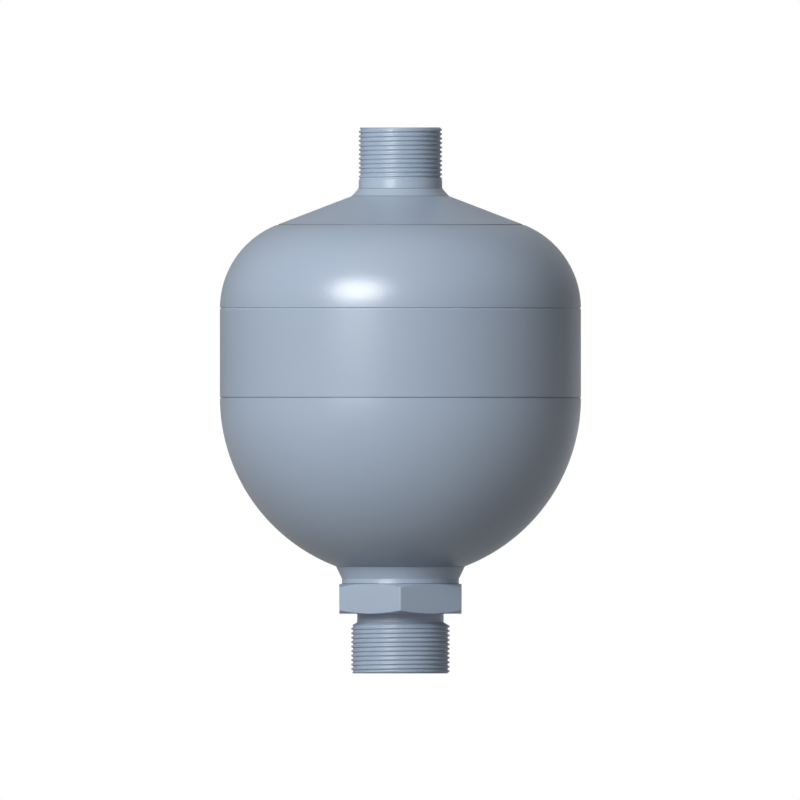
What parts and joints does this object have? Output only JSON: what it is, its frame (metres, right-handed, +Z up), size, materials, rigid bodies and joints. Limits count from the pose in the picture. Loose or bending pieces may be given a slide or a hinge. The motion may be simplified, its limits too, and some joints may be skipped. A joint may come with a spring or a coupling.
{
  "type": "hydraulic accumulator",
  "caption": "Welded diaphragm accumulator: round steel pressure vessel with a threaded gas boss on top and a threaded fluid port with a hexagon below.",
  "frame": {"origin": "centre of the end face of the fluid port, at the bottom of the vessel", "axes": "+Z up along the vessel's axis, from the fluid port to the gas boss; X across two flats of the hexagon, Y through two of its corners"},
  "size_m": [0.121, 0.121, 0.183],
  "materials": {
    "vessel_paint": "satin blue-grey coat over steel",
    "screw_steel": "zinc plated, satin",
    "washer_steel": "zinc plated, turned",
    "ring_steel": "bare turned steel",
    "button_steel": "bare turned steel",
    "diaphragm_rubber": "matt moulded rubber",
    "lip_rubber": "smooth moulded rubber"
  },
  "bodies": {
    "vessel": {"port_fitting": "vessel_paint", "port_weld": "vessel_paint", "fluid_shell": "vessel_paint", "diaphragm": "diaphragm_rubber", "clamp_ring": "ring_steel", "girth_weld": "vessel_paint", "gas_shell": "vessel_paint", "gas_boss": "vessel_paint", "boss_weld": "vessel_paint", "seal_washer": "washer_steel", "seal_lip": "lip_rubber", "charging_screw": "screw_steel"},
    "button": {"valve_button": "button_steel"}
  },
  "joints": [
    {"name": "diaphragm_stroke", "type": "slide", "parent": "vessel", "child": "button", "axis": [0, 0, 1], "range_m": [0, 0.092], "stiffness_N_per_m": 20, "springref_m": -0.01, "deforming": ["diaphragm"]}
  ]
}
